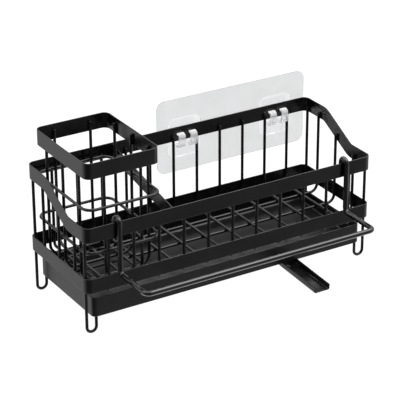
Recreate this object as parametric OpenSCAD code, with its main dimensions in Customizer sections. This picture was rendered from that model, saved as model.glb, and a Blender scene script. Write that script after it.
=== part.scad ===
// Countertop dish drying rack: a wire rack between two flat steel rims, with a
// lift-out brush basket, a drip tray with a pull-out drain spout, a hook-on
// towel bar and an adhesive wall plate. X runs along the rack, Y from the
// front to the back, Z up. Lengths are in millimetres.

/* [Rack] */
// Outer width of the rims
rack_w = 342; // [330:1:360]
// Outer depth of the rims
rack_d = 124; // [124:1:130]
// Height of the rack's flat strips
strip_h = 16; // [14:0.5:18]
// Thickness of every flat strip
strip_t = 1.2; // [1:0.1:1.5]
// Outer corner radius of the rims
corner_r = 7.5; // [6:0.5:7.5]
// Underside of the lower rim above the worktop
lower_rim_z = 47.5; // [46:0.5:52]
// Underside of the upper rim along the front
upper_front_z = 102.8; // [98:0.2:106]
// Underside of the upper rim along the back
upper_back_z = 128; // [124:0.5:132]
// Distance along each side over which the upper rim steps down
step_run = 47; // [40:1:56]
// Bend radius of that step, at the middle of the strip
step_bend_r = 18; // [14:1:22]
// How far left of centre the divider strip stands
divider_offset = 72; // [68:0.5:76]

/* [Wires] */
// Diameter of the rack's wires
wire_d = 3.2; // [3:0.1:3.4]
// Distance between neighbouring grid wires
grid_pitch = 28.86; // [28:0.02:29]
// Distance of the front and rear long wires from the middle
long_wire_y = 33; // [28:0.5:36]
// Distance of the foot wires from the middle
foot_y = 54.5; // [50:0.5:54.5]
// Height of the grid's lower layer, at the wire's centre
grid_z = 41.5; // [41.5:0.1:43]
// Bend radius at the foot of each grid wire
grid_bend_r = 4; // [3:0.5:9]
// Bend radius at the ends of each long wire
long_bend_r = 9; // [7:0.5:12]
// How far the wires lap onto the upper rim
weld_lap = 7; // [5:0.5:9]
// Distance between a foot's outer leg and its turned-up tip
foot_hook_w = 10.7; // [9:0.1:12]
// Height of a foot's turned-up tip
foot_tip_z = 17.3; // [16:0.1:17.3]

/* [Drip tray] */
// Outer width of the tray
tray_w = 324; // [316:1:326]
// Outer depth of the tray
tray_d = 114; // [108:1:116]
// Underside of the tray's skirt
tray_z = 17.6; // [17.6:0.1:18]
// Height of the tray's walls
tray_h = 21.8; // [20:0.1:21.8]
// Thickness of the walls and the floor
tray_t = 1.8; // [1.6:0.1:2.4]
// Outer corner radius of the tray
tray_r = 5; // [4:0.5:8]
// Slope of the floor and the spout, in degrees
drain_slope = 3; // [2.5:0.1:3]

/* [Drain spout] */
// Distance of the spout from the middle of the tray
spout_x = 74; // [60:0.5:90]
// Outer width of the spout
spout_w = 19; // [17:0.5:21]
// Height of the spout's walls
spout_h = 6.5; // [6:0.1:6.5]
// Length of the spout
spout_l = 100; // [90:1:102]
// Distance of the spout's tip in front of the middle of the rack
spout_reach = 115; // [108:1:116]
// Underside of the spout's tip above the worktop
spout_tip_z = 7.7; // [7:0.1:7.7]

/* [Towel bar] */
// Diameter of the towel bar
towel_d = 5.6; // [4.6:0.1:5.6]
// Distance between the two legs
towel_span = 271; // [266:0.5:272]
// How far right of centre the towel bar hangs
towel_x = 1; // [0:0.5:2]
// Distance of the bar in front of the middle of the rack
towel_reach = 116.5; // [100:0.5:120]
// Height of the bar
towel_z = 63.2; // [63:0.1:70]
// Bend radius of the bar's corners
towel_bend_r = 6; // [5:0.5:8]
// Bend radius of the hooks over the front rim
towel_hook_r = 4.9; // [4.8:0.1:5]
// Lower end of the hooks behind the front rim
towel_hook_end_z = 112; // [111:0.5:113]

/* [Brush basket] */
// Outer width of the basket's rim
basket_w = 83; // [80:0.5:83]
// Outer depth of the basket's rim
basket_d = 109; // [104:0.5:109]
// Distance of the basket's middle left of the rack's middle
basket_offset = 122.8; // [122:0.1:122.8]
// Underside of the basket's rim
basket_rim_z = 166.5; // [150:0.5:180]
// Height of the basket's rim strip
basket_strip_h = 17; // [15:0.5:20]
// Height of the upper ring wire
basket_ring_upper_z = 134; // [134:0.5:140]
// Height of the lower ring wire
basket_ring_lower_z = 87; // [80:0.5:88]
// Diameter of the basket's wires
basket_wire_d = 3.2; // [2.4:0.1:3.2]
// Bend radius at the foot of each basket wire
basket_bend_r = 12; // [10:0.5:16]
// Distance between neighbouring side-to-side wires
basket_cross_pitch = 34; // [30:0.5:36]
// Distance between the two front-to-back wires
basket_long_pitch = 41; // [36:0.5:50]

/* [Wall plate] */
// Width of the adhesive plate
plate_w = 186; // [180:1:186]
// Height of the adhesive plate
plate_h = 83; // [76:1:86]
// Thickness of the adhesive plate
plate_t = 0.8; // [0.6:0.1:1]
// Corner radius of the adhesive plate
plate_r = 9; // [6:1:16]
// Distance of the plate's middle right of the rack's middle
plate_offset = 76; // [76:0.5:77]
// Underside of the adhesive plate
plate_z = 91.5; // [90:0.5:96]
// Width of a hook clip's base
clip_w = 41; // [38:0.5:42]
// Height of a hook clip's base
clip_h = 45; // [42:1:46]
// Corner radius of a hook clip's base
clip_r = 10; // [6:1:12]
// Underside of a hook clip's base
clip_z = 108.5; // [106:0.5:110]
// Thickness of a hook clip
clip_t = 2; // [1.8:0.1:2]
// Width of one hook finger
finger_w = 8; // [7:0.1:8]
// Distance between the two fingers of a clip
finger_pitch = 14.5; // [13:0.1:14.5]
// How far the fingers stand in front of the back rim's rear face
finger_reach = 8.3; // [8:0.1:9]

/* [Hidden] */
$fn = 48;

// Running gap between parts that lift or slide apart
gap = 0.3;
// How deep a welded wire bites into a strip or another wire
weld_bite = 0.05;
// Overshoot of a cutting shape past the faces that it cuts
over = 1;

// Rims and the wires along their inner faces
rim_inside_x = rack_w / 2 - strip_t;
rim_inside_y = rack_d / 2 - strip_t;
wire_x = rim_inside_x - wire_d / 2 + weld_bite;
wire_y = rim_inside_y - wire_d / 2 + weld_bite;
upper_front_top = upper_front_z + strip_h;
upper_back_top = upper_back_z + strip_h;

// Side profile of the upper rim: a straight slope between two equal bends
step_angle = atan2(upper_back_z - upper_front_z, step_run);
step_tangent = step_bend_r * tan(step_angle / 2);

// Grid: the grid wires lie across the long wires
grid_count = 11;
cross_z = grid_z + wire_d - weld_bite;
grid_top_z = cross_z + wire_d / 2;

// Divider strip, welded between the front and the back of the upper rim
divider_h = 15.5;
divider_back_drop = 2.3;
divider_front_drop = 0.3;

// Foot wires: the outer leg turns up into a tip under the tray
foot_bend_r = foot_hook_w / 2;
foot_bottom_z = foot_bend_r + wire_d / 2;

// Drip tray: the floor slopes down to the front, over the spout
tray_front_y = -tray_d / 2;
floor_front_z = tray_z + 0.2;
runner_w = 4;
runner_x = wire_x - foot_hook_w;
drain_slot_w = 12;
drain_slot_l = 8;
drain_slot_setback = 4;

// Spout: a channel that slides in two rails under the tray's floor
spout_t = 1.5;
spout_edge_r = 2;
rail_t = 1.8;
rail_lip = 2.5;
rail_front = 74;
rail_l = 56;

// Towel bar
towel_leg_y = rack_d / 2 + 0.5 + towel_d / 2;
towel_hook_z = upper_front_top - 1.45;

// Brush basket: side-to-side wires rest on the grid, front-to-back wires on them
basket_in_x = basket_w / 2 - strip_t;
basket_in_y = basket_d / 2 - strip_t;
basket_leg_x = basket_in_x - basket_wire_d / 2 + weld_bite;
basket_leg_y = basket_in_y - basket_wire_d / 2 + weld_bite;
basket_ring_step = basket_wire_d - weld_bite;
basket_ring_r = corner_r + 3;
basket_cross_z = grid_top_z + gap + basket_wire_d / 2;
basket_long_z = basket_cross_z + basket_wire_d - weld_bite;
basket_wire_top = basket_rim_z + 11.5;
basket_cross_count = 3;
basket_long_count = 2;

// Wall plate: the clips' bases lie against the back rim, the plate behind them
clip_y = rack_d / 2 + gap;
plate_y = clip_y + clip_t;
finger_hook_r = (finger_reach + gap + clip_t) / 2;
finger_low_z = upper_back_z - 1.7;
finger_curl_z = upper_back_z + 5;
finger_curl_r = 4.8;
finger_tip = 0.9;
// The right finger of each clip stands just left of a grid wire
clip_beside_wire = wire_d / 2 + 0.4 + finger_w / 2 + finger_pitch / 2;
left_clip_wire = 1;
right_clip_wire = 5;

// The origin is under the middle of the whole object's depth
front_reach = towel_reach + towel_d / 2;
back_reach = plate_y + plate_t;
origin_y = (front_reach - back_reach) / 2;

GRID_WIRES = [for (i = [1 : grid_count]) str("grid_wire_", i)];
CROSS_WIRES = [for (i = [1 : basket_cross_count]) str("basket_cross_wire_", i)];
LONG_WIRES = [for (i = [1 : basket_long_count]) str("basket_long_wire_", i)];

coat_black = [0.09, 0.09, 0.1];
tray_black = [0.13, 0.13, 0.14];
plate_clear = [0.86, 0.87, 0.88];
clip_clear = [0.8, 0.81, 0.83];

// ---- Shapes that repeat ----

// Puts a part that is drawn about the middle of the rack into the object's frame
module placed() {
    translate([0, origin_y, 0]) children();
}

// Rectangle about the origin with rounded corners
module rounded_rect(w, d, r) {
    square([w - 2 * r, d], center = true);
    square([w, d - 2 * r], center = true);
    for (x = [-1, 1], y = [-1, 1])
        translate([x * (w / 2 - r), y * (d / 2 - r)]) circle(r = r);
}

// Outline of a flat strip that is bent into a closed rim
module rim_outline(w, d, r, t) {
    difference() {
        rounded_rect(w, d, r);
        rounded_rect(w - 2 * t, d - 2 * t, r - t);
    }
}

// Bent wire. Each step of the route is [straight, bend angle, bend radius, roll]:
// the wire runs along +X, rolls about itself, then bends towards +Y.
module bent_wire(route, d, i = 0) {
    if (i < len(route)) {
        straight = route[i][0];
        bend = route[i][1];
        radius = route[i][2];
        rotate([0, 90, 0]) cylinder(h = straight, d = d);
        translate([straight, 0, 0]) rotate([route[i][3], 0, 0]) {
            if (bend > 0)
                translate([0, radius, 0]) rotate([0, 0, -90])
                    rotate_extrude(angle = bend) translate([radius, 0]) circle(d = d);
            translate([radius * sin(bend), radius * (1 - cos(bend)), 0])
                rotate([0, 0, bend]) bent_wire(route, d, i + 1);
        }
    }
}

// U-shaped wire in the X-Z plane, from the top of its left leg to its right leg's
module u_wire(half_span, base_z, left_top, right_top, bend_r, d) {
    route = [
        [left_top - base_z - bend_r, 90, bend_r, 90],
        [2 * (half_span - bend_r), 90, bend_r, 0],
        [right_top - base_z - bend_r, 0, 0, 0]];
    translate([-half_span, 0, left_top]) rotate([0, 90, 0]) bent_wire(route, d);
}

// Closed ring of wire in the X-Y plane, about the origin
module ring_wire(w, d, r, wire) {
    side = w - 2 * r;
    end = d - 2 * r;
    route = [for (i = [0 : 3]) [i % 2 == 0 ? side : end, 90, r, 0]];
    translate([-side / 2, -d / 2, 0]) bent_wire(route, wire);
}

// ---- Rack ----

// Points of one edge of the stepped strip, from the back to the front.
// The edge lies at the given height above the strip's middle.
function step_edge(offset) =
    let (half = step_run / 2,
         back_z = upper_back_z + strip_h / 2,
         front_z = upper_front_z + strip_h / 2,
         past = rack_d / 2 + over,
         turns = [for (i = [0 : 6]) step_angle * i / 6])
    concat(
        [[past, back_z + offset]],
        [for (a = turns) [
            half + step_tangent - (step_bend_r + offset) * sin(a),
            back_z - step_bend_r + (step_bend_r + offset) * cos(a)]],
        [for (i = [6 : -1 : 0]) let (a = turns[i]) [
            (step_bend_r - offset) * sin(a) - half - step_tangent,
            front_z + step_bend_r - (step_bend_r - offset) * cos(a)]],
        [[-past, front_z + offset]]);

function reversed(points) = [for (i = [len(points) - 1 : -1 : 0]) points[i]];

// Height of the upper rim's lower edge at a place on the sides
function rim_edge_z(y) =
    let (edge = step_edge(-strip_h / 2))
    lookup(-y, [for (p = edge) [-p[0], p[1]]]);

module upper_rim() {
    color(coat_black) placed() intersection() {
        translate([0, 0, upper_front_z - over])
            linear_extrude(upper_back_top - upper_front_z + 2 * over)
                rim_outline(rack_w, rack_d, corner_r, strip_t);
        rotate([90, 0, 90]) linear_extrude(rack_w + 2 * over, center = true)
            polygon(concat(step_edge(strip_h / 2), reversed(step_edge(-strip_h / 2))));
    }
}

module lower_rim() {
    color(coat_black) placed() translate([0, 0, lower_rim_z])
        linear_extrude(strip_h) rim_outline(rack_w, rack_d, corner_r, strip_t);
}

// Straight strip on edge, sloping from the back of the upper rim to its front
module divider_strip() {
    back = upper_back_top - divider_back_drop;
    front = upper_front_top - divider_front_drop;
    color(coat_black) placed() translate([-divider_offset, 0, 0])
        rotate([90, 0, 90]) linear_extrude(strip_t, center = true)
            polygon([
                [rim_inside_y, back], [rim_inside_y, back - divider_h],
                [-rim_inside_y, front - divider_h], [-rim_inside_y, front]]);
}

// Grid wire i of the row, counted from the left
module grid_wire(i) {
    x = (i - (grid_count + 1) / 2) * grid_pitch;
    color(coat_black) placed() translate([x, 0, 0]) rotate([0, 0, 90])
        u_wire(wire_y, cross_z, upper_front_z + weld_lap, upper_back_z + weld_lap,
               grid_bend_r, wire_d);
}

// Long wire at a distance behind the middle of the rack
module long_wire(y) {
    top = rim_edge_z(y) + weld_lap;
    color(coat_black) placed() translate([0, y, 0])
        u_wire(wire_x, grid_z, top, top, long_bend_r, wire_d);
}

// Foot wire at one corner: right and rear are 1 or -1
module foot_wire(right, rear) {
    top = (rear > 0 ? upper_back_z : upper_front_z) + weld_lap;
    route = [
        [top - foot_bottom_z, 180, foot_bend_r, 90],
        [foot_tip_z - foot_bottom_z, 0, 0, 0]];
    color(coat_black) placed() mirror([right > 0 ? 1 : 0, 0, 0])
        translate([-wire_x, rear * foot_y, top]) rotate([0, 90, 0])
            bent_wire(route, wire_d);
}

// ---- Drip tray and spout ----

// Slab parallel to the tray's floor, from one height to another at the front wall
module sloped_slab(low, high) {
    translate([0, tray_front_y, floor_front_z]) rotate([drain_slope, 0, 0])
        translate([-tray_w, -tray_d / 2, low]) cube([2 * tray_w, 2 * tray_d, high - low]);
}

// Place of the spout: its own frame starts under its tip and runs back along +Y
module along_spout() {
    translate([spout_x, -spout_reach, spout_tip_z]) rotate([drain_slope, 0, 0])
        children();
}

module drip_tray() {
    color(tray_black) placed() {
        difference() {
            translate([0, 0, tray_z]) linear_extrude(tray_h) rounded_rect(tray_w, tray_d, tray_r);
            // Basin above the floor
            intersection() {
                tray_inside();
                sloped_slab(tray_t, 3 * tray_h);
            }
            // Hollow under the floor
            intersection() {
                tray_inside();
                sloped_slab(-3 * tray_h, 0);
            }
            // Drain slot over the spout
            translate([spout_x - drain_slot_w / 2, tray_front_y + tray_t + drain_slot_setback, 0])
                cube([drain_slot_w, drain_slot_l, tray_z + tray_h]);
        }
        tray_runners();
        spout_rails();
    }
}

// Everything between the tray's four walls
module tray_inside() {
    translate([0, 0, tray_z - over]) linear_extrude(tray_h + 2 * over)
        rounded_rect(tray_w - 2 * tray_t, tray_d - 2 * tray_t, tray_r - tray_t);
}

// Two ribs under the floor, which slide on the tips of the feet
module tray_runners() {
    for (side = [-1, 1]) intersection() {
        translate([side * runner_x - runner_w / 2, tray_front_y + over, tray_z])
            cube([runner_w, tray_d - 2 * over, tray_h / 2]);
        sloped_slab(-tray_h, tray_t / 2);
    }
}

// Two rails of L section under the floor, one along each wall of the spout
module spout_rails() {
    for (side = [0, 1]) along_spout() mirror([side, 0, 0])
        translate([0, rail_front + rail_l, 0]) rotate([90, 0, 0]) linear_extrude(rail_l) {
            inner = spout_w / 2 + gap;
            translate([inner, -gap - rail_t]) square([rail_t, spout_h + 2 * gap + 2 * rail_t]);
            translate([inner - rail_lip, -gap - rail_t]) square([rail_lip + rail_t, rail_t]);
        }
}

// Outline of a trough with rounded lower edges, standing on the origin
module trough(w, h, r) {
    translate([-w / 2, r]) square([w, h - r]);
    translate([r - w / 2, 0]) square([w - 2 * r, h]);
    for (x = [-1, 1]) translate([x * (w / 2 - r), r]) circle(r = r);
}

module drain_spout() {
    color(tray_black) placed() along_spout()
        translate([0, spout_l, 0]) rotate([90, 0, 0]) linear_extrude(spout_l)
            difference() {
                trough(spout_w, spout_h, spout_edge_r);
                translate([0, spout_t])
                    trough(spout_w - 2 * spout_t, spout_h, spout_edge_r - spout_t / 2);
            }
}

// ---- Towel bar ----

// One rod: the bar, two arms, two legs and two hooks over the front rim
module towel_bar() {
    arm = towel_reach - towel_leg_y - 2 * towel_bend_r;
    leg = towel_hook_z - towel_z - towel_bend_r;
    half = [
        [towel_span / 2 - towel_bend_r, 90, towel_bend_r, 0],
        [arm, 90, towel_bend_r, 90],
        [leg, 180, towel_hook_r, 180],
        [towel_hook_z - towel_hook_end_z, 0, 0, 0]];
    color(coat_black) placed() translate([towel_x, -towel_reach, towel_z])
        for (side = [0, 1]) mirror([side, 0, 0]) bent_wire(half, towel_d);
}

// ---- Brush basket ----

module in_basket() {
    placed() translate([-basket_offset, 0, 0]) children();
}

module basket_rim() {
    color(coat_black) in_basket() translate([0, 0, basket_rim_z])
        linear_extrude(basket_strip_h) rim_outline(basket_w, basket_d, corner_r, strip_t);
}

// Ring around the outside of the basket's upright wires
module basket_ring(z) {
    w = 2 * (basket_leg_x + basket_ring_step);
    d = 2 * (basket_leg_y + basket_ring_step);
    color(coat_black) in_basket() translate([0, 0, z])
        ring_wire(w, d, basket_ring_r, basket_wire_d);
}

// Side-to-side wire i of the basket, counted from the front
module basket_cross_wire(i) {
    y = (i - (basket_cross_count + 1) / 2) * basket_cross_pitch;
    color(coat_black) in_basket() translate([0, y, 0])
        u_wire(basket_leg_x, basket_cross_z, basket_wire_top, basket_wire_top,
               basket_bend_r, basket_wire_d);
}

// Front-to-back wire i of the basket, counted from the left
module basket_long_wire(i) {
    x = (i - (basket_long_count + 1) / 2) * basket_long_pitch;
    color(coat_black) in_basket() translate([x, 0, 0]) rotate([0, 0, 90])
        u_wire(basket_leg_y, basket_long_z, basket_wire_top, basket_wire_top,
               basket_bend_r, basket_wire_d);
}

// ---- Wall plate ----

module adhesive_plate() {
    color(plate_clear) placed() translate([plate_offset, plate_y + plate_t, plate_z + plate_h / 2])
        rotate([90, 0, 0]) linear_extrude(plate_t) rounded_rect(plate_w, plate_h, plate_r);
}

// Quarter or half of a flat ring about the origin, kept where its window lies
module ring_part(outer_r, window) {
    intersection() {
        difference() {
            circle(r = outer_r);
            circle(r = outer_r - clip_t);
        }
        translate(window) square(2 * outer_r);
    }
}

// Section of a hook finger in the Y-Z plane. It passes under the back rim, rises in
// front of it and curls back towards it.
module finger_section() {
    back_y = clip_y + clip_t;
    low_y = back_y - finger_hook_r;
    front_y = back_y - 2 * finger_hook_r;
    curl_y = front_y + finger_curl_r;
    translate([low_y, finger_low_z]) ring_part(finger_hook_r, [-finger_hook_r, -2 * finger_hook_r]);
    translate([front_y, finger_low_z]) square([clip_t, finger_curl_z - finger_low_z]);
    translate([curl_y, finger_curl_z]) ring_part(finger_curl_r, [-2 * finger_curl_r, 0]);
    translate([curl_y, finger_curl_z + finger_curl_r - clip_t]) square([finger_tip, clip_t]);
}

// Hook clip: a rounded base and two fingers that hold the back rim, left of the grid
// wire that stands a number of pitches right of the middle
module hook_clip(wire) {
    color(clip_clear) placed() translate([wire * grid_pitch - clip_beside_wire, 0, 0]) {
        translate([0, clip_y + clip_t, clip_z + clip_h / 2]) rotate([90, 0, 0])
            linear_extrude(clip_t) rounded_rect(clip_w, clip_h, clip_r);
        for (side = [-1, 1]) translate([side * finger_pitch / 2, 0, 0])
            rotate([90, 0, 90]) linear_extrude(finger_w, center = true) finger_section();
    }
}

// ---- The object ----

upper_rim();
lower_rim();
divider_strip();
for (i = [1 : grid_count])
    grid_wire(i);
long_wire(-long_wire_y);  // long_wire_front
long_wire(0);  // long_wire_middle
long_wire(long_wire_y);  // long_wire_rear
foot_wire(-1, -1);  // foot_wire_front_left
foot_wire(1, -1);  // foot_wire_front_right
foot_wire(-1, 1);  // foot_wire_rear_left
foot_wire(1, 1);  // foot_wire_rear_right
drip_tray();
drain_spout();
towel_bar();
basket_rim();
basket_ring(basket_ring_upper_z);  // basket_ring_upper
basket_ring(basket_ring_lower_z);  // basket_ring_lower
for (i = [1 : basket_cross_count])
    basket_cross_wire(i);
for (i = [1 : basket_long_count])
    basket_long_wire(i);
adhesive_plate();
hook_clip(left_clip_wire);  // hook_clip_left
hook_clip(right_clip_wire);  // hook_clip_right
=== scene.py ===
"""Looks of the dish drying rack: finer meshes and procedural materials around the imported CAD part."""

import math

import bmesh
import bpy
from mathutils import Matrix, Vector, noise


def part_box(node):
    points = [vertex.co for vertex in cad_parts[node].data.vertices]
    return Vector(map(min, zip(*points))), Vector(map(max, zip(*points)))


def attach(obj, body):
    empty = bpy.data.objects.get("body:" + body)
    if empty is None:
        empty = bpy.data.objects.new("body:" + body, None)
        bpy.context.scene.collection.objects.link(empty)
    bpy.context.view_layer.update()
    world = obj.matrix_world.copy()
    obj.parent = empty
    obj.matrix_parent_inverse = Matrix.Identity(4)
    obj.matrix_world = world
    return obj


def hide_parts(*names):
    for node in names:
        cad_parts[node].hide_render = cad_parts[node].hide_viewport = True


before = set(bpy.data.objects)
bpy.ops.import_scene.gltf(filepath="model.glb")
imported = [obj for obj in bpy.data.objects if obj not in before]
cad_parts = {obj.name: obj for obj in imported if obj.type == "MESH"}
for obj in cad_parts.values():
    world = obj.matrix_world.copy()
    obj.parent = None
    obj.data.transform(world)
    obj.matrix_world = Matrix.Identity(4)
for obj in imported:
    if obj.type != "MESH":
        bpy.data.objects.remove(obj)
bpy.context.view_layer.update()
scene = bpy.context.scene

MM = 0.001

# ---- Sizes that the frame's boxes don't give, in metres ----
STRIP_T = 1.2 * MM
STRIP_EDGE = 0.5 * MM
CORNER_R = 7.5 * MM
STEP_RUN = 47 * MM
STEP_BEND_R = 18 * MM
WELD_LAP = 7 * MM
GRID_BEND_R = 4 * MM
LONG_BEND_R = 9 * MM
BASKET_BEND_R = 12 * MM
RING_BEND_R = 10.5 * MM
FOOT_TIP_GAP = 0.3 * MM
DIVIDER_H = 15.5 * MM
WIRE_EDGE = 0.45 * MM

WIRE_SIDES = 20
ARC_STEPS = 10
NUGGET_LUMPS = 1.9
NUGGET_UNEVEN = 0.16
BEVEL_ANGLE = math.radians(40)


# ---- Paths ----

def arc_points(centre, u, v, radius, start, end, steps):
    """Points along an arc in the plane of u and v, with its angles in degrees."""
    points = []
    for k in range(steps + 1):
        a = math.radians(start + (end - start) * k / steps)
        points.append(centre + radius * (math.cos(a) * u + math.sin(a) * v))
    return points


def bent_path(corners, radii, closed=False, steps=ARC_STEPS):
    """A wire's centre line through straight stretches, with an arc at every corner."""
    count = len(corners)
    points = []
    for i, corner in enumerate(corners):
        corner = Vector(corner)
        if not closed and i in (0, count - 1):
            points.append(corner)
            continue
        before = (Vector(corners[i - 1]) - corner).normalized()
        after = (Vector(corners[(i + 1) % count]) - corner).normalized()
        radius = radii[i] if isinstance(radii, (list, tuple)) else radii
        half = before.angle(after) / 2
        reach = radius / math.tan(half)
        centre = corner + (before + after).normalized() * radius / math.sin(half)
        start = corner + before * reach - centre
        axis = start.cross(corner + after * reach - centre).normalized()
        sweep = math.pi - 2 * half
        for k in range(steps + 1):
            p = centre + Matrix.Rotation(sweep * k / steps, 3, axis) @ start
            if not points or (p - points[-1]).length > 1e-6:
                points.append(p)
    if closed and (points[0] - points[-1]).length < 1e-6:
        points.pop()
    return points


def rounded_plan(width, depth, radius, steps=8, side_step=None):
    """Stations round a rounded rectangle about the origin, as (place, outward normal)."""
    stations = []
    for k, (sx, sy) in enumerate(((1, 1), (-1, 1), (-1, -1), (1, -1))):
        centre = Vector((sx * (width / 2 - radius), sy * (depth / 2 - radius), 0))
        for j in range(steps + 1):
            a = math.radians(90 * k + 90 * j / steps)
            normal = Vector((math.cos(a), math.sin(a), 0))
            stations.append((centre + radius * normal, normal))
    if not side_step:
        return stations
    filled = []
    for i, (p, n) in enumerate(stations):
        q, m = stations[(i + 1) % len(stations)]
        filled.append((p, n))
        parts = int((q - p).length // side_step)
        if (n - m).length < 1e-6 and parts > 1:
            filled += [(p.lerp(q, j / parts), n) for j in range(1, parts)]
    return filled


# ---- Mesh builders ----

def bridge(bm, rings, closed):
    """Quads between neighbouring rings of vertices."""
    pairs = zip(rings, rings[1:] + rings[:1]) if closed else zip(rings, rings[1:])
    for a, b in pairs:
        for j in range(len(a)):
            k = (j + 1) % len(a)
            bm.faces.new((a[j], a[k], b[k], b[j]))


def add_tube(bm, path, radius, closed=False, edge=WIRE_EDGE, sides=WIRE_SIDES):
    """A round wire along a path, its cut ends slightly rounded."""
    count = len(path)
    normal = None
    rings = []
    last = None
    for i, p in enumerate(path):
        ahead = path[(i + 1) % count] if closed or i < count - 1 else p
        behind = path[i - 1] if closed or i > 0 else p
        tangent = ((ahead - p).normalized() + (p - behind).normalized()).normalized()
        if normal is None:
            normal = tangent.orthogonal().normalized()
        else:
            normal = last.rotation_difference(tangent) @ normal
        last = tangent
        side = tangent.cross(normal)
        places = [(p, radius)]
        if not closed and i in (0, count - 1):
            sign = -1 if i == 0 else 1
            places = [(p + sign * tangent * edge * (math.sin(a) - 1), radius - edge * (1 - math.cos(a)))
                      for a in (0, 0.5, 1.0, math.pi / 2)]
            if i == 0:
                places.reverse()
        for centre, r in places:
            rings.append([bm.verts.new(centre + r * (math.cos(t) * normal + math.sin(t) * side))
                          for t in (2 * math.pi * j / sides for j in range(sides))])
    bridge(bm, rings, closed)
    if not closed:
        bm.faces.new(list(reversed(rings[0])))
        bm.faces.new(rings[-1])


def strip_section(low, high, thickness, edge=STRIP_EDGE, steps=4):
    """Section of a flat strip on edge, as (outward, height) points with rounded edges."""
    half = thickness / 2 - edge
    points = []
    for out, z, start in ((half, low + edge, -90), (half, high - edge, 0),
                          (-half, high - edge, 90), (-half, low + edge, 180)):
        for k in range(steps + 1):
            a = math.radians(start + 90 * k / steps)
            points.append((out + edge * math.cos(a), z + edge * math.sin(a)))
    return points


def add_strip(bm, stations, low, high, thickness, closed):
    """A flat strip along stations in plan. low and high give its edges' heights at a place."""
    rings = []
    for p, n in stations:
        middle = p - n * thickness / 2
        section = strip_section(low(p), high(p), thickness)
        rings.append([bm.verts.new(middle + n * u + Vector((0, 0, z))) for u, z in section])
    bridge(bm, rings, closed)
    if not closed:
        bm.faces.new(list(reversed(rings[0])))
        bm.faces.new(rings[-1])


def add_prism(bm, outline, depth, place):
    """A solid of one outline, extruded along its own +Z and then put in place."""
    low = [bm.verts.new(place @ Vector((x, y, 0))) for x, y in outline]
    high = [bm.verts.new(place @ Vector((x, y, depth))) for x, y in outline]
    bridge(bm, [low, high], False)
    bm.faces.new(list(reversed(low)))
    bm.faces.new(high)


def add_nugget(bm, centre, size, seed):
    """A small uneven bead of weld, drawn as a squashed ball."""
    made = bmesh.ops.create_icosphere(bm, subdivisions=2, radius=1)["verts"]
    for v in made:
        lumps = noise.noise(v.co * NUGGET_LUMPS + Vector((seed * 3.1, seed * 1.7, 0)))
        swell = 1 + NUGGET_UNEVEN * lumps
        v.co = Vector(centre) + Vector(v.co[k] * size[k] * swell for k in range(3))


def add_bevel(piece, width):
    """Rounds an object's sharp edges with a modifier."""
    rounding = piece.modifiers.new("rounded_edges", "BEVEL")
    rounding.width = width
    rounding.segments = 3
    rounding.limit_method = "ANGLE"
    rounding.angle_limit = BEVEL_ANGLE


def facing_right(x):
    """Frame in which an outline's x and y are y and z, and its extrusion runs to the right."""
    return Matrix(((0, 0, 1, x), (1, 0, 0, 0), (0, 1, 0, 0), (0, 0, 0, 1)))


def finish_piece(name, bm, material, body, slot, nodes=(), bevel=0.0, weighted=True):
    """Turns a bmesh into a piece that rides on a body and stands for its CAD nodes."""
    bmesh.ops.recalc_face_normals(bm, faces=bm.faces)
    mesh = bpy.data.meshes.new(name)
    bm.to_mesh(mesh)
    bm.free()
    mesh.polygons.foreach_set("use_smooth", [True] * len(mesh.polygons))
    mesh.materials.append(material)
    piece = bpy.data.objects.new(name, mesh)
    scene.collection.objects.link(piece)
    if bevel:
        add_bevel(piece, bevel)
    if weighted:
        piece.modifiers.new("flat_faces", "WEIGHTED_NORMAL").keep_sharp = True
    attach(piece, body)
    if nodes:
        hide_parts(*nodes)


# ---- Materials ----

# Where Pointiness starts and ends to count as an edge that gets a painted highlight: a lighter colour on
# coated steel, partly standing for wear, and an emission glow on clear clips
WORN_HIGHLIT_EDGE = (0.53, 0.62)
PAINTED_GLOW_EDGE = (0.52, 0.60)
# How much lighter the edges of coated steel get: partly wear, partly a painted highlight
EDGE_WEAR_AND_HIGHLIGHT = 0.35
# Emission strength of the painted glow on the clips' edges
PAINTED_EDGE_GLOW = 0.4
FINGER_CLEARNESS = 0.62


def new_material(name):
    """A material with its node tree and shader."""
    material = bpy.data.materials.new(name)
    material.use_nodes = True
    tree = material.node_tree
    return material, tree, tree.nodes["Principled BSDF"]


def noise_node(tree, scale, detail=3.0, roughness=0.55):
    """Noise in the object's own metres, so it keeps its scale and moves with the piece."""
    place = tree.nodes.get("place") or tree.nodes.new("ShaderNodeTexCoord")
    place.name = "place"
    texture = tree.nodes.new("ShaderNodeTexNoise")
    texture.inputs["Scale"].default_value = scale
    texture.inputs["Detail"].default_value = detail
    texture.inputs["Roughness"].default_value = roughness
    tree.links.new(place.outputs["Object"], texture.inputs["Vector"])
    return texture


def ramp(tree, source, low, high, start=0.3, end=0.7):
    """Spreads a noise value between two colours."""
    node = tree.nodes.new("ShaderNodeValToRGB")
    node.color_ramp.elements[0].position = start
    node.color_ramp.elements[1].position = end
    node.color_ramp.elements[0].color = (*low, 1)
    node.color_ramp.elements[1].color = (*high, 1)
    tree.links.new(source, node.inputs["Fac"])
    return node.outputs["Color"]


def spread(tree, source, low, high, start=0.3, end=0.7):
    """Maps a value that goes from start to end onto a range of numbers."""
    node = tree.nodes.new("ShaderNodeMapRange")
    node.inputs["From Min"].default_value = start
    node.inputs["From Max"].default_value = end
    node.inputs["To Min"].default_value = low
    node.inputs["To Max"].default_value = high
    tree.links.new(source, node.inputs["Value"])
    return node.outputs["Result"]


def bump(tree, shader, layers):
    """Adds up bump layers, each (height source, strength, distance)."""
    normal = None
    for source, strength, distance in layers:
        node = tree.nodes.new("ShaderNodeBump")
        node.inputs["Strength"].default_value = strength
        node.inputs["Distance"].default_value = distance
        tree.links.new(source, node.inputs["Height"])
        if normal:
            tree.links.new(normal, node.inputs["Normal"])
        normal = node.outputs["Normal"]
    tree.links.new(normal, shader.inputs["Normal"])


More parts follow.
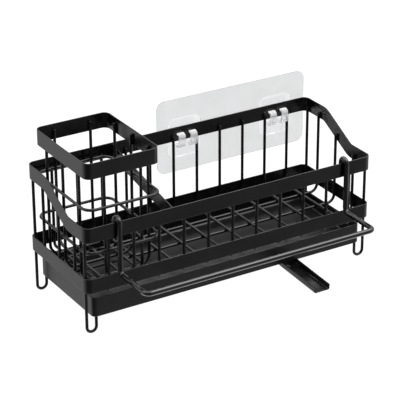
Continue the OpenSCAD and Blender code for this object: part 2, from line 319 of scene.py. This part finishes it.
def coated_steel(name, low, high, gloss, grain, specular=0.5):
    """Powder-coated steel: orange peel, a finer grain, cloudy gloss, and edges lightened partly as wear and
    partly as a painted highlight.
    """
    material, tree, shader = new_material(name)
    peel = noise_node(tree, 900, 2.0)
    fine = noise_node(tree, 3800, 2.0)
    cloud = noise_node(tree, 45, 4.0)
    body = ramp(tree, cloud.outputs["Fac"], low, high)
    # Painted highlight, partly wear: edges found by Pointiness get a lighter base colour
    edge = tree.nodes.new("ShaderNodeNewGeometry")
    edge_wear_and_highlight = spread(tree, edge.outputs["Pointiness"], 0, EDGE_WEAR_AND_HIGHLIGHT, *WORN_HIGHLIT_EDGE)
    mix = tree.nodes.new("ShaderNodeMix")
    mix.data_type = "RGBA"
    mix.inputs["B"].default_value = (high[0] * 3, high[1] * 3, high[2] * 3, 1)
    tree.links.new(edge_wear_and_highlight, mix.inputs["Factor"])
    tree.links.new(body, mix.inputs["A"])
    tree.links.new(mix.outputs["Result"], shader.inputs["Base Color"])
    tree.links.new(spread(tree, cloud.outputs["Fac"], *gloss), shader.inputs["Roughness"])
    shader.inputs["Specular IOR Level"].default_value = specular
    bump(tree, shader, [(peel.outputs["Fac"], grain, 0.00012), (fine.outputs["Fac"], grain, 0.00003)])
    return material


def moulded_plastic(name, low, high, gloss, grain):
    """Black injection-moulded plastic with a fine spark-eroded grain."""
    material, tree, shader = new_material(name)
    cloud = noise_node(tree, 30, 3.0)
    fine = noise_node(tree, 2600, 3.0, 0.7)
    flow = noise_node(tree, 160, 2.0)
    tree.links.new(ramp(tree, cloud.outputs["Fac"], low, high), shader.inputs["Base Color"])
    tree.links.new(spread(tree, flow.outputs["Fac"], *gloss), shader.inputs["Roughness"])
    bump(tree, shader, [(fine.outputs["Fac"], grain, 0.00005), (flow.outputs["Fac"], grain / 2, 0.0002)])
    shader.inputs["IOR"].default_value = 1.5
    return material


def clear_plastic(name, low, high, gloss, ior):
    """Clear plastic sheet or moulding with a faint haze."""
    material, tree, shader = new_material(name)
    haze = noise_node(tree, 60, 4.0)
    ripple = noise_node(tree, 220, 2.0)
    tree.links.new(ramp(tree, haze.outputs["Fac"], low, high), shader.inputs["Base Color"])
    tree.links.new(spread(tree, haze.outputs["Fac"], *gloss), shader.inputs["Roughness"])
    bump(tree, shader, [(ripple.outputs["Fac"], 0.1, 0.0001)])
    shader.inputs["Transmission Weight"].default_value = 1.0
    shader.inputs["IOR"].default_value = ior
    return material


def clip_plastic(name, clear_y, milky_y):
    """Clear moulding whose fingers turn milky from one y to another, with a painted glow along its edges:
    emission that stands in for highlights.
    """
    material = clear_plastic(name, (0.93, 0.935, 0.94), (0.96, 0.965, 0.97), (0.08, 0.14), 1.18)
    tree = material.node_tree
    shader = tree.nodes["Principled BSDF"]
    split = tree.nodes.new("ShaderNodeSeparateXYZ")
    tree.links.new(tree.nodes["place"].outputs["Object"], split.inputs["Vector"])
    tree.links.new(spread(tree, split.outputs["Y"], 1, FINGER_CLEARNESS, clear_y, milky_y),
                   shader.inputs["Transmission Weight"])
    # Painted highlight: edges found by Pointiness glow white by emission
    edge = tree.nodes.new("ShaderNodeNewGeometry")
    tree.links.new(spread(tree, edge.outputs["Pointiness"], 0, PAINTED_EDGE_GLOW, *PAINTED_GLOW_EDGE),
                   shader.inputs["Emission Strength"])
    shader.inputs["Emission Color"].default_value = (1, 1, 1, 1)
    return material


BLACK_LOW = (0.0022, 0.0022, 0.0024)
BLACK_HIGH = (0.0040, 0.0040, 0.0043)
PLASTIC_LOW = (0.0035, 0.0035, 0.0038)
PLASTIC_HIGH = (0.0055, 0.0055, 0.006)
SATIN = (0.17, 0.25)
GLOSS = (0.04, 0.07)
RACK_COAT = coated_steel("rack_powder_coat", BLACK_LOW, BLACK_HIGH, SATIN, 0.25)
BASKET_COAT = coated_steel("basket_powder_coat", BLACK_LOW, BLACK_HIGH, SATIN, 0.25)
TOWEL_COAT = coated_steel("towel_bar_gloss_coat", BLACK_LOW, BLACK_HIGH, GLOSS, 0.05, 0.75)
TRAY_PLASTIC = moulded_plastic("tray_moulded_plastic", PLASTIC_LOW, PLASTIC_HIGH, (0.27, 0.34), 0.08)
SPOUT_PLASTIC = moulded_plastic("spout_moulded_plastic", PLASTIC_LOW, PLASTIC_HIGH, (0.17, 0.24), 0.08)
PLATE_CLEAR = clear_plastic("plate_clear_film", (0.68, 0.685, 0.69), (0.71, 0.715, 0.72), (0.14, 0.22), 1.4)
CLIP_BACK_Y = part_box("hook_clip_left")[1].y
CLIP_CLEAR = clip_plastic("clip_clear_plastic", CLIP_BACK_Y - 2.5 * MM, CLIP_BACK_Y - 6 * MM)

# Material, body and slot of the pieces that share them
RACK = (RACK_COAT, "rack", "rack_coating")
BASKET = (BASKET_COAT, "brush_basket", "basket_coating")


# ---- Rack ----

RIM_LO, RIM_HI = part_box("upper_rim")
LOWER_LO, LOWER_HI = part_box("lower_rim")
RACK_MID = Vector(((RIM_LO.x + RIM_HI.x) / 2, (RIM_LO.y + RIM_HI.y) / 2, 0))
RACK_W = RIM_HI.x - RIM_LO.x
RACK_D = RIM_HI.y - RIM_LO.y
STRIP_H = LOWER_HI.z - LOWER_LO.z
FRONT_Z = RIM_LO.z + STRIP_H / 2
BACK_Z = RIM_HI.z - STRIP_H / 2
STEP_ANGLE = math.atan2(BACK_Z - FRONT_Z, STEP_RUN)
STEP_TANGENT = STEP_BEND_R * math.tan(STEP_ANGLE / 2)
RIM_STEP = 1.5 * MM
GRID_COUNT = 11
LONG_WIRES = ("long_wire_front", "long_wire_middle", "long_wire_rear")


def stepped_height(y, offset):
    """Height of a line at an offset above the middle of the upper rim's strip, y from the rack's middle."""
    top_r = STEP_BEND_R + offset
    low_r = STEP_BEND_R - offset
    start = STEP_RUN / 2 + STEP_TANGENT
    back = start - y
    front = y + start
    if back <= 0:
        return BACK_Z + offset
    if back < top_r * math.sin(STEP_ANGLE):
        return BACK_Z - STEP_BEND_R + math.sqrt(top_r ** 2 - back ** 2)
    if front <= 0:
        return FRONT_Z + offset
    if front < low_r * math.sin(STEP_ANGLE):
        return FRONT_Z + STEP_BEND_R - math.sqrt(low_r ** 2 - front ** 2)
    middle = (BACK_Z + FRONT_Z) / 2
    return middle + y * math.tan(STEP_ANGLE) + offset / math.cos(STEP_ANGLE)


def make_rims():
    bm = bmesh.new()
    plan = [(p + RACK_MID, n) for p, n in rounded_plan(RACK_W, RACK_D, CORNER_R, side_step=RIM_STEP)]
    add_strip(bm, plan,
              lambda p: stepped_height(p.y - RACK_MID.y, -STRIP_H / 2),
              lambda p: stepped_height(p.y - RACK_MID.y, STRIP_H / 2), STRIP_T, True)
    finish_piece("upper_rim_coated", bm, *RACK, ["upper_rim"])
    bm = bmesh.new()
    plan = [(p + RACK_MID, n) for p, n in rounded_plan(RACK_W, RACK_D, CORNER_R)]
    add_strip(bm, plan, lambda p: LOWER_LO.z, lambda p: LOWER_HI.z, STRIP_T, True)
    finish_piece("lower_rim_coated", bm, *RACK, ["lower_rim"])


def make_divider():
    lo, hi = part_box("divider_strip")
    slope = (hi.z - lo.z - DIVIDER_H) / (hi.y - lo.y)
    bm = bmesh.new()
    stations = [(Vector((hi.x, y, 0)), Vector((1, 0, 0))) for y in (lo.y, hi.y)]
    add_strip(bm, stations, lambda p: lo.z + (p.y - lo.y) * slope,
              lambda p: lo.z + DIVIDER_H + (p.y - lo.y) * slope, hi.x - lo.x, False)
    finish_piece("divider_strip_coated", bm, *RACK, ["divider_strip"])


def make_wire(node, corners, bend, radius, kind, closed=False):
    """The piece for a wire node. kind is RACK or BASKET."""
    bm = bmesh.new()
    add_tube(bm, bent_path(corners, bend, closed), radius, closed)
    finish_piece(f"{node}_coated", bm, *kind, [node], weighted=False)


def make_u_wire(node, across, bend, kind, first_top=None):
    """A U-shaped wire in its box. across is the axis of its flat run, 0 for x and 1 for y."""
    lo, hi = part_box(node)
    along = 1 - across
    r = (hi[along] - lo[along]) / 2
    low_z = lo.z + r
    start = [lo.x + r, lo.y + r]
    end = list(start)
    end[across] = hi[across] - r
    corners = [(*start, first_top or hi.z), (*start, low_z), (*end, low_z), (*end, hi.z)]
    make_wire(node, corners, bend, r, kind)


def make_grid_wires():
    for i in range(1, GRID_COUNT + 1):
        make_u_wire(f"grid_wire_{i}", 1, GRID_BEND_R, RACK, RIM_LO.z + WELD_LAP)


def make_long_wires():
    for node in LONG_WIRES:
        make_u_wire(node, 0, LONG_BEND_R, RACK)


def make_feet():
    tray_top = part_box("drip_tray")[1].z
    tip_z = tray_top - TRAY_H - FOOT_TIP_GAP
    for place in ("front_left", "front_right", "rear_left", "rear_right"):
        node = f"foot_wire_{place}"
        lo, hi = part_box(node)
        r = (hi.y - lo.y) / 2
        y = lo.y + r
        left = place.endswith("left")
        outer = lo.x + r if left else hi.x - r
        inner = hi.x - r if left else lo.x + r
        bend = abs(inner - outer) / 2
        corners = [(outer, y, hi.z), (outer, y, lo.z + r), (inner, y, lo.z + r), (inner, y, tip_z)]
        make_wire(node, corners, bend, r, RACK)


# ---- Drip tray and spout ----

TRAY_H = 21.8 * MM
TRAY_T = 1.8 * MM
TRAY_R = 5 * MM
TRAY_W = 324 * MM
SLOPE = math.radians(3)
FLOOR_LIFT = 0.2 * MM
FLOOR_FILLET = 2.5 * MM
EDGE_R = 0.8 * MM
SLOT_W = 12 * MM
SLOT_L = 8 * MM
SLOT_SETBACK = 4 * MM
SLOT_R = 1.2 * MM
RUNNER_W = 4 * MM
SPOUT_T = 1.5 * MM
SPOUT_R = 2 * MM
SPOUT_L = 100 * MM
SPOUT_H = 6.5 * MM
RAIL_FRONT = 74 * MM
RAIL_L = 56 * MM
RAIL_T = 1.8 * MM
RAIL_LIP = 2.5 * MM
GAP = 0.3 * MM
CORNER_STEPS = 6
FILLET_STEPS = 4

TRAY_LO, TRAY_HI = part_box("drip_tray")
TRAY_D = TRAY_HI.y - TRAY_LO.y
TRAY_Z = TRAY_HI.z - TRAY_H
TRAY_MID = Vector(((TRAY_LO.x + TRAY_HI.x) / 2, (TRAY_LO.y + TRAY_HI.y) / 2, 0))
SPOUT_LO, SPOUT_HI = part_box("drain_spout")
SPOUT_FRAME = (Matrix.Translation(((SPOUT_LO.x + SPOUT_HI.x) / 2, SPOUT_LO.y + SPOUT_H * math.sin(SLOPE),
                                   SPOUT_LO.z)) @ Matrix.Rotation(SLOPE, 4, "X"))
SPOUT_W = SPOUT_HI.x - SPOUT_LO.x


def floor_under(y):
    """Height of the sloping floor's underside."""
    return TRAY_Z + FLOOR_LIFT + (y - TRAY_LO.y) * math.tan(SLOPE)


def floor_top(y):
    """Height of the sloping floor's top."""
    return floor_under(y) + TRAY_T / math.cos(SLOPE)


def tray_ring(bm, inset, height):
    """Ring of vertices round the tray, set in from its outer face. height gives z at a place."""
    radius = max(TRAY_R - inset, 0.5 * MM)
    plan = rounded_plan(TRAY_W - 2 * inset, TRAY_D - 2 * inset, radius)
    places = [p + TRAY_MID for p, n in plan]
    return [bm.verts.new((p.x, p.y, height(p.y))) for p in places]


def slot_ring(bm, height):
    """Ring of vertices round the drain slot."""
    x = (SPOUT_LO.x + SPOUT_HI.x) / 2
    y = TRAY_LO.y + TRAY_T + SLOT_SETBACK + SLOT_L / 2
    return [bm.verts.new((x + p.x, y + p.y, height(y + p.y)))
            for p, n in rounded_plan(SLOT_W, SLOT_L, SLOT_R, steps=4)]


def fill_between(bm, outer, inner):
    """Fills a flat floor between its outline and a hole."""
    edges = []
    for ring in (outer, inner):
        for a, b in zip(ring, ring[1:] + ring[:1]):
            edges.append(bm.edges.get((a, b)) or bm.edges.new((a, b)))
    bmesh.ops.triangle_fill(bm, edges=edges, use_beauty=True)


def rounded_corner(inset, z, start, steps=4, radius=EDGE_R):
    """(inset, z) points round an edge of the wall's section, about a centre."""
    angles = [math.radians(start + 90 * k / steps) for k in range(steps + 1)]
    return [(inset - radius * math.cos(a), z + radius * math.sin(a)) for a in angles]


def make_tray():
    bm = bmesh.new()
    top = TRAY_HI.z
    flat = [(TRAY_T, TRAY_Z + EDGE_R / 2)]
    flat += rounded_corner(TRAY_T - EDGE_R / 2, TRAY_Z + EDGE_R / 2, -180, radius=EDGE_R / 2)[1:]
    flat += rounded_corner(EDGE_R, TRAY_Z + EDGE_R, -90)
    flat += rounded_corner(EDGE_R, top - EDGE_R, 0)
    flat += rounded_corner(TRAY_T - EDGE_R, top - EDGE_R, 90)
    rings = [tray_ring(bm, TRAY_T, floor_under)]
    for inset, z in flat:
        rings.append(tray_ring(bm, inset, lambda y, z=z: z))
    for k in range(FILLET_STEPS + 1):
        a = math.radians(90 * k / FILLET_STEPS)
        inset = TRAY_T + FLOOR_FILLET * (1 - math.cos(a))
        rise = FLOOR_FILLET * (1 - math.sin(a))
        rings.append(tray_ring(bm, inset, lambda y, rise=rise: floor_top(y) + rise))
    bridge(bm, rings, False)
    slot_top = slot_ring(bm, floor_top)
    slot_low = slot_ring(bm, floor_under)
    bridge(bm, [slot_top, slot_low], False)
    fill_between(bm, rings[-1], slot_top)
    fill_between(bm, rings[0], slot_low)
    add_runners(bm)
    add_rails(bm)
    finish_piece("drip_tray_moulded", bm, TRAY_PLASTIC, "tray", "tray_plastic", ["drip_tray"],
                 bevel=0.3 * MM)


def add_runners(bm):
    """Two ribs under the floor that slide on the tips of the feet."""
    for place in ("front_left", "front_right"):
        lo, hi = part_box(f"foot_wire_{place}")
        r = (hi.y - lo.y) / 2
        x = hi.x - r if place.endswith("left") else lo.x + r
        front = TRAY_LO.y + TRAY_T / 2
        back = TRAY_HI.y - TRAY_T / 2
        outline = [(front, TRAY_Z), (back, TRAY_Z), (back, floor_under(back) + TRAY_T / 2),
                   (front, floor_under(front) + TRAY_T / 2)]
        add_prism(bm, outline, RUNNER_W, facing_right(x - RUNNER_W / 2))


def along_spout(start, side=1):
    """Frame in which an outline's x runs across the spout and its extrusion runs to the back."""
    turn = Matrix(((side, 0, 0, 0), (0, 0, 1, 0), (0, 1, 0, 0), (0, 0, 0, 1)))
    return SPOUT_FRAME @ Matrix.Translation((0, start, 0)) @ turn


def add_rails(bm):
    """Two L-shaped rails under the floor that hold the spout."""
    inner = SPOUT_W / 2 + GAP
    low = -GAP - RAIL_T
    top = low + SPOUT_H + 2 * GAP + 2 * RAIL_T
    outline = [(inner - RAIL_LIP, low), (inner + RAIL_T, low), (inner + RAIL_T, top), (inner, top),
               (inner, low + RAIL_T), (inner - RAIL_LIP, low + RAIL_T)]
    for side in (1, -1):
        add_prism(bm, outline, RAIL_L, along_spout(RAIL_FRONT, side))


def trough_outline():
    """Section of the spout: two walls and a floor with rounded corners."""
    across, up = Vector((1, 0)), Vector((0, 1))
    half = SPOUT_W / 2
    inner_r = SPOUT_R - SPOUT_T / 2
    points = [Vector((-half, SPOUT_H))]
    points += arc_points(Vector((SPOUT_R - half, SPOUT_R)), across, up, SPOUT_R, 180, 270, CORNER_STEPS)
    points += arc_points(Vector((half - SPOUT_R, SPOUT_R)), across, up, SPOUT_R, 270, 360, CORNER_STEPS)
    points += [Vector((half, SPOUT_H)), Vector((half - SPOUT_T, SPOUT_H))]
    centre = Vector((half - SPOUT_T - inner_r, SPOUT_T + inner_r))
    points += arc_points(centre, across, up, inner_r, 360, 270, CORNER_STEPS)
    centre = Vector((SPOUT_T + inner_r - half, SPOUT_T + inner_r))
    points += arc_points(centre, across, up, inner_r, 270, 180, CORNER_STEPS)
    points.append(Vector((SPOUT_T - half, SPOUT_H)))
    return points


def make_spout():
    bm = bmesh.new()
    add_prism(bm, trough_outline(), SPOUT_L, along_spout(0))
    finish_piece("drain_spout_moulded", bm, SPOUT_PLASTIC, "spout", "spout_plastic", ["drain_spout"],
                 bevel=0.35 * MM)


# ---- Towel bar ----

TOWEL_D = 5.6 * MM
TOWEL_BEND_R = 6 * MM
TOWEL_HOOK_R = 4.9 * MM
TOWEL_HOOK_END = 112 * MM
TOWEL_EDGE = 0.8 * MM
TOWEL_ARC_STEPS = 14
TOWEL_SIDES = 28


def make_towel_bar():
    lo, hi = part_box("towel_bar")
    r = TOWEL_D / 2
    left, right = lo.x + r, hi.x - r
    bar_y, bar_z = lo.y + r, lo.z + r
    rear_y, top_z = hi.y - r, hi.z - r
    leg_y = rear_y - 2 * TOWEL_HOOK_R
    side = [(rear_y, TOWEL_HOOK_END), (rear_y, top_z), (leg_y, top_z), (leg_y, bar_z), (bar_y, bar_z)]
    corners = [(left, y, z) for y, z in side] + [(right, y, z) for y, z in reversed(side)]
    half_radii = [0, TOWEL_HOOK_R, TOWEL_HOOK_R, TOWEL_BEND_R, TOWEL_BEND_R]
    path = bent_path(corners, half_radii + half_radii[::-1], steps=TOWEL_ARC_STEPS)
    bm = bmesh.new()
    add_tube(bm, path, r, edge=TOWEL_EDGE, sides=TOWEL_SIDES)
    finish_piece("towel_bar_coated", bm, TOWEL_COAT, "towel_rail", "towel_bar_coating", ["towel_bar"],
                 weighted=False)


# ---- Brush basket ----

BASKET_RINGS = ("basket_ring_upper", "basket_ring_lower")
BASKET_CROSS_WIRES = [f"basket_cross_wire_{i}" for i in (1, 2, 3)]
BASKET_LONG_WIRES = [f"basket_long_wire_{i}" for i in (1, 2)]


def make_basket():
    lo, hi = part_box("basket_rim")
    middle = Vector(((lo.x + hi.x) / 2, (lo.y + hi.y) / 2, 0))
    bm = bmesh.new()
    plan = [(p + middle, n) for p, n in rounded_plan(hi.x - lo.x, hi.y - lo.y, CORNER_R)]
    add_strip(bm, plan, lambda p: lo.z, lambda p: hi.z, STRIP_T, True)
    finish_piece("basket_rim_coated", bm, *BASKET, ["basket_rim"])
    for node in BASKET_RINGS:
        lo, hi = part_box(node)
        r = (hi.z - lo.z) / 2
        z = lo.z + r
        corners = [(lo.x + r, lo.y + r, z), (hi.x - r, lo.y + r, z),
                   (hi.x - r, hi.y - r, z), (lo.x + r, hi.y - r, z)]
        make_wire(node, corners, RING_BEND_R, r, BASKET, closed=True)
    for node in BASKET_CROSS_WIRES:
        make_u_wire(node, 0, BASKET_BEND_R, BASKET)
    for node in BASKET_LONG_WIRES:
        make_u_wire(node, 1, BASKET_BEND_R, BASKET)


# ---- Weld nuggets ----

NUGGET_WIDE = 1.9 * MM
NUGGET_DEEP = 0.75 * MM
NUGGET_TALL = 2.7 * MM
BASKET_WIDE = 0.9 * NUGGET_WIDE
CROSSING = 1.75 * MM
BASKET_CROSSING = 1.5 * MM
LAP_FROM_TOP = WELD_LAP / 2
BASKET_LAP_FROM_TOP = 0.35 * STRIP_H
DIVIDER_BEAD = 0.3 * DIVIDER_H


class Welds:
    """Weld nuggets gathered into one piece, each with a shape of its own."""

    def __init__(self, seed):
        self.bm = bmesh.new()
        self.seed = seed

    def add(self, centre, size):
        self.seed += 1
        add_nugget(self.bm, centre, size, self.seed)


def make_rack_welds():
    welds = Welds(0)
    low_z = (LOWER_LO.z + LOWER_HI.z) / 2
    front = RIM_LO.y + STRIP_T
    back = RIM_HI.y - STRIP_T
    left = RIM_LO.x + STRIP_T
    right = RIM_HI.x - STRIP_T
    for i in range(1, GRID_COUNT + 1):
        lo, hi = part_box(f"grid_wire_{i}")
        x = (lo.x + hi.x) / 2
        spots = [(front, RIM_LO.z + LAP_FROM_TOP), (back, hi.z - LAP_FROM_TOP), (front, low_z), (back, low_z)]
        for y, z in spots:
            welds.add((x, y, z), (NUGGET_WIDE, NUGGET_DEEP, NUGGET_TALL))
        for node in LONG_WIRES:
            lo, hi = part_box(node)
            top = lo.z + (hi.y - lo.y)
            welds.add((x, (lo.y + hi.y) / 2, top), (CROSSING, CROSSING, CROSSING / 2))
    for node in LONG_WIRES:
        lo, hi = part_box(node)
        for x in (left, right):
            for z in (hi.z - LAP_FROM_TOP, low_z):
                welds.add((x, (lo.y + hi.y) / 2, z), (NUGGET_DEEP, NUGGET_WIDE, NUGGET_TALL))
    for place in ("front_left", "rear_left", "front_right", "rear_right"):
        lo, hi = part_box(f"foot_wire_{place}")
        x = left if place.endswith("left") else right
        for z in (hi.z - LAP_FROM_TOP, low_z):
            welds.add((x, (lo.y + hi.y) / 2, z), (NUGGET_DEEP, NUGGET_WIDE, NUGGET_TALL))
    lo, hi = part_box("divider_strip")
    for y, z in ((hi.y, hi.z - DIVIDER_H / 2), (lo.y, lo.z + DIVIDER_H / 2)):
        for x in (lo.x, hi.x):
            welds.add((x, y, z), (NUGGET_DEEP, NUGGET_DEEP, DIVIDER_BEAD))
    finish_piece("rack_weld_nuggets", welds.bm, *RACK, weighted=False)


def make_basket_welds():
    welds = Welds(500)
    rim_lo, rim_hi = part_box("basket_rim")
    rings = [sum(corner.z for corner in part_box(node)) / 2 for node in BASKET_RINGS]
    small = BASKET_CROSSING
    for node in BASKET_CROSS_WIRES:
        lo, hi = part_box(node)
        y = (lo.y + hi.y) / 2
        for inner, wire_out in ((rim_lo.x + STRIP_T, lo.x), (rim_hi.x - STRIP_T, hi.x)):
            welds.add((inner, y, hi.z - BASKET_LAP_FROM_TOP), (NUGGET_DEEP, BASKET_WIDE, NUGGET_TALL))
            for z in rings:
                welds.add((wire_out, y, z), (small / 2, small, small))
        for long_node in BASKET_LONG_WIRES:
            long_lo, long_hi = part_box(long_node)
            welds.add(((long_lo.x + long_hi.x) / 2, y, long_lo.z), (small, small, small / 2))
    for node in BASKET_LONG_WIRES:
        lo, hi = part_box(node)
        x = (lo.x + hi.x) / 2
        for inner, wire_out in ((rim_lo.y + STRIP_T, lo.y), (rim_hi.y - STRIP_T, hi.y)):
            welds.add((x, inner, hi.z - BASKET_LAP_FROM_TOP), (BASKET_WIDE, NUGGET_DEEP, NUGGET_TALL))
            for z in rings:
                welds.add((x, wire_out, z), (small, small / 2, small))
    finish_piece("basket_weld_nuggets", welds.bm, *BASKET, weighted=False)


# ---- Wall plate ----

PLATE_R = 9 * MM
CLIP_T = 2 * MM
CLIP_W = 41 * MM
CLIP_H = 45 * MM
CLIP_R = 10 * MM
FINGER_W = 8 * MM
FINGER_PITCH = 14.5 * MM
CURL_R = 4.8 * MM
CURL_RISE = 6.7 * MM
FINGER_TIP = 0.9 * MM
GLUE = 0.1 * MM
HOOK_STEPS = 16
CURL_STEPS = 8

# Height of the fingers' tops over the underside of the back rim
FINGER_TOP = 9.8 * MM
CLIP_TOP = RIM_HI.z - STRIP_H + FINGER_TOP


def plan_outline(width, height, radius, steps=10):
    """A rounded rectangle as (x, y) points."""
    return [(p.x, p.y) for p, n in rounded_plan(width, height, radius, steps)]


def facing_back(x, y, z):
    """Frame in which an outline stands in the X-Z plane and its extrusion runs to the back."""
    return Matrix(((-1, 0, 0, x), (0, 0, 1, y), (0, 1, 0, z), (0, 0, 0, 1)))


def make_plate():
    lo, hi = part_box("adhesive_plate")
    bm = bmesh.new()
    add_prism(bm, plan_outline(hi.x - lo.x, hi.z - lo.z, PLATE_R), hi.y - lo.y,
              facing_back((lo.x + hi.x) / 2, lo.y, (lo.z + hi.z) / 2))
    finish_piece("adhesive_plate_clear", bm, PLATE_CLEAR, "wall_plate", "plate_clear", ["adhesive_plate"],
                 bevel=0.2 * MM)


def finger_outline(back_y, front_y, low_z):
    """Section of a hook finger, as (y, z): a hook under the back rim that curls over at its top."""
    across, up = Vector((1, 0)), Vector((0, 1))
    hook_r = (back_y - front_y) / 2
    low = Vector((back_y - hook_r, low_z))
    curl = Vector((front_y + CURL_R, low_z + CURL_RISE))
    points = arc_points(low, across, up, hook_r, 360, 180, HOOK_STEPS)
    points += arc_points(curl, across, up, CURL_R, 180, 90, CURL_STEPS)
    points.append(Vector((curl.x + FINGER_TIP, curl.y + CURL_R)))
    points.append(Vector((curl.x + FINGER_TIP, curl.y + CURL_R - CLIP_T)))
    points += arc_points(curl, across, up, CURL_R - CLIP_T, 90, 180, CURL_STEPS)
    points += arc_points(low, across, up, hook_r - CLIP_T, 180, 360, HOOK_STEPS)
    return points


def applied(piece):
    """Mesh of an object with its modifiers applied."""
    graph = bpy.context.evaluated_depsgraph_get()
    return bpy.data.meshes.new_from_object(piece.evaluated_get(graph))


def scratch_solid(bm, bevel):
    """A bevelled solid to be joined with others, not a piece of its own."""
    bmesh.ops.recalc_face_normals(bm, faces=bm.faces)
    mesh = bpy.data.meshes.new("scratch")
    bm.to_mesh(mesh)
    bm.free()
    solid = bpy.data.objects.new("scratch", mesh)
    scene.collection.objects.link(solid)
    add_bevel(solid, bevel)
    return solid


def make_clip(side):
    """One hook clip: its base and two fingers joined into one closed solid."""
    node = f"hook_clip_{side}"
    lo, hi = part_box(node)
    x = (lo.x + hi.x) / 2
    bm = bmesh.new()
    add_prism(bm, plan_outline(CLIP_W, CLIP_H, CLIP_R), CLIP_T - GLUE,
              facing_back(x, hi.y - CLIP_T, (lo.z + hi.z) / 2))
    base = scratch_solid(bm, 0.5 * MM)
    outline = finger_outline(hi.y - 2 * GLUE, lo.y, CLIP_TOP - CURL_R - CURL_RISE)
    solids = [base]
    for offset in (-FINGER_PITCH / 2, FINGER_PITCH / 2):
        bm = bmesh.new()
        add_prism(bm, outline, FINGER_W, facing_right(x + offset - FINGER_W / 2))
        finger = scratch_solid(bm, 0.4 * MM)
        union = base.modifiers.new("finger", "BOOLEAN")
        union.operation = "UNION"
        union.solver = "EXACT"
        union.object = finger
        solids.append(finger)
    bpy.context.view_layer.update()
    mesh = applied(base)
    for solid in solids:
        bpy.data.objects.remove(solid)
    bm = bmesh.new()
    bm.from_mesh(mesh)
    finish_piece(f"{node}_clear", bm, CLIP_CLEAR, "wall_plate", "clip_clear", [node])


# ---- Stage ----

DIM_SIDE = (-0.40, -0.92, 0)
DIM_SIDE_LEVEL = 0.26
BRIGHT_SIDE_LEVEL = 0.70
ABOVE_GAIN = 3.0
BELOW_GAIN = 1.9
NEAR_SIDE = (-0.67, -0.74, 0)
NEAR_SIDE_GAIN = 0.4

LENS = 168.9
SENSOR_W = 36
SHIFT = (-0.0437, -0.0281)
CAMERA_PLACE = (-0.9201, -1.4894, 0.9159)
CAMERA_VIEW = (0.4778, 0.7722, -0.4190)


def make_floor():
    """A pale floor that doesn't show in the object's gloss."""
    bm = bmesh.new()
    bmesh.ops.create_grid(bm, x_segments=8, y_segments=8, size=12)
    mesh = bpy.data.meshes.new("floor")
    bm.to_mesh(mesh)
    bm.free()
    floor = bpy.data.objects.new("floor", mesh)
    scene.collection.objects.link(floor)
    material, tree, shader = new_material("pale_floor")
    tone = noise_node(tree, 3, 2.0)
    tree.links.new(ramp(tree, tone.outputs["Fac"], (0.05, 0.05, 0.05), (0.06, 0.06, 0.06)),
                   shader.inputs["Base Color"])
    shader.inputs["Roughness"].default_value = 0.9
    shader.inputs["Emission Color"].default_value = (1, 1, 1, 1)
    shader.inputs["Emission Strength"].default_value = 1.0
    mesh.materials.append(material)
    floor.visible_glossy = False


def fade(tree, source, start, end, low, high):
    """A smooth change from one level to another as a value goes from start to end."""
    node = tree.nodes.new("ShaderNodeMapRange")
    node.interpolation_type = "SMOOTHSTEP"
    node.inputs["From Min"].default_value = start
    node.inputs["From Max"].default_value = end
    node.inputs["To Min"].default_value = low
    node.inputs["To Max"].default_value = high
    tree.links.new(source, node.inputs["Value"])
    return node.outputs["Result"]


def make_world():
    """A soft studio: bright above, behind and below, dim to the front and dimmest near the camera."""
    world = bpy.data.worlds.new("studio")
    scene.world = world
    world.use_nodes = True
    tree = world.node_tree
    background = tree.nodes["Background"]
    direction = tree.nodes.new("ShaderNodeTexCoord").outputs["Generated"]
    sides = []
    for side in (DIM_SIDE, NEAR_SIDE):
        towards = tree.nodes.new("ShaderNodeVectorMath")
        towards.operation = "DOT_PRODUCT"
        towards.inputs[1].default_value = side
        tree.links.new(direction, towards.inputs[0])
        sides.append(towards.outputs["Value"])
    split = tree.nodes.new("ShaderNodeSeparateXYZ")
    tree.links.new(direction, split.inputs["Vector"])
    level = fade(tree, sides[0], 0.15, 0.48, BRIGHT_SIDE_LEVEL, DIM_SIDE_LEVEL)
    for gain in (fade(tree, sides[1], 0.5, 0.85, 1, NEAR_SIDE_GAIN),
                 fade(tree, split.outputs["Z"], 0.3, 0.75, 1, ABOVE_GAIN),
                 fade(tree, split.outputs["Z"], -0.5, -0.75, 1, BELOW_GAIN)):
        product = tree.nodes.new("ShaderNodeMath")
        product.operation = "MULTIPLY"
        tree.links.new(level, product.inputs[0])
        tree.links.new(gain, product.inputs[1])
        level = product.outputs["Value"]
    tree.links.new(level, background.inputs["Strength"])
    background.inputs["Color"].default_value = (1, 1, 1, 1)


def add_light(name, place, target, size, power):
    """A rectangular area light turned towards a target."""
    light = bpy.data.lights.new(name, "AREA")
    light.shape = "RECTANGLE"
    light.size, light.size_y = size
    light.energy = power
    lamp = bpy.data.objects.new(name, light)
    scene.collection.objects.link(lamp)
    lamp.location = place
    lamp.rotation_euler = (Vector(target) - Vector(place)).to_track_quat("-Z", "Y").to_euler()


def make_camera():
    """Camera on a long lens, left of the front and above, turned towards the middle of the rack."""
    data = bpy.data.cameras.new("camera")
    data.sensor_width = SENSOR_W
    data.lens = LENS
    data.shift_x, data.shift_y = SHIFT
    data.clip_end = 50
    camera = bpy.data.objects.new("camera", data)
    scene.collection.objects.link(camera)
    camera.location = CAMERA_PLACE
    camera.rotation_euler = Vector(CAMERA_VIEW).to_track_quat("-Z", "Y").to_euler()
    scene.camera = camera


make_rims()
make_divider()
make_grid_wires()
make_long_wires()
make_feet()
make_tray()
make_spout()
make_towel_bar()
make_basket()
make_rack_welds()
make_basket_welds()
make_plate()
make_clip("left")
make_clip("right")
make_floor()
make_world()
add_light("overhead", (0.65, -0.3, 1.3), (0.2, 0, 0.08), (1.3, 0.75), 9)
make_camera()
scene.view_settings.view_transform = "Standard"
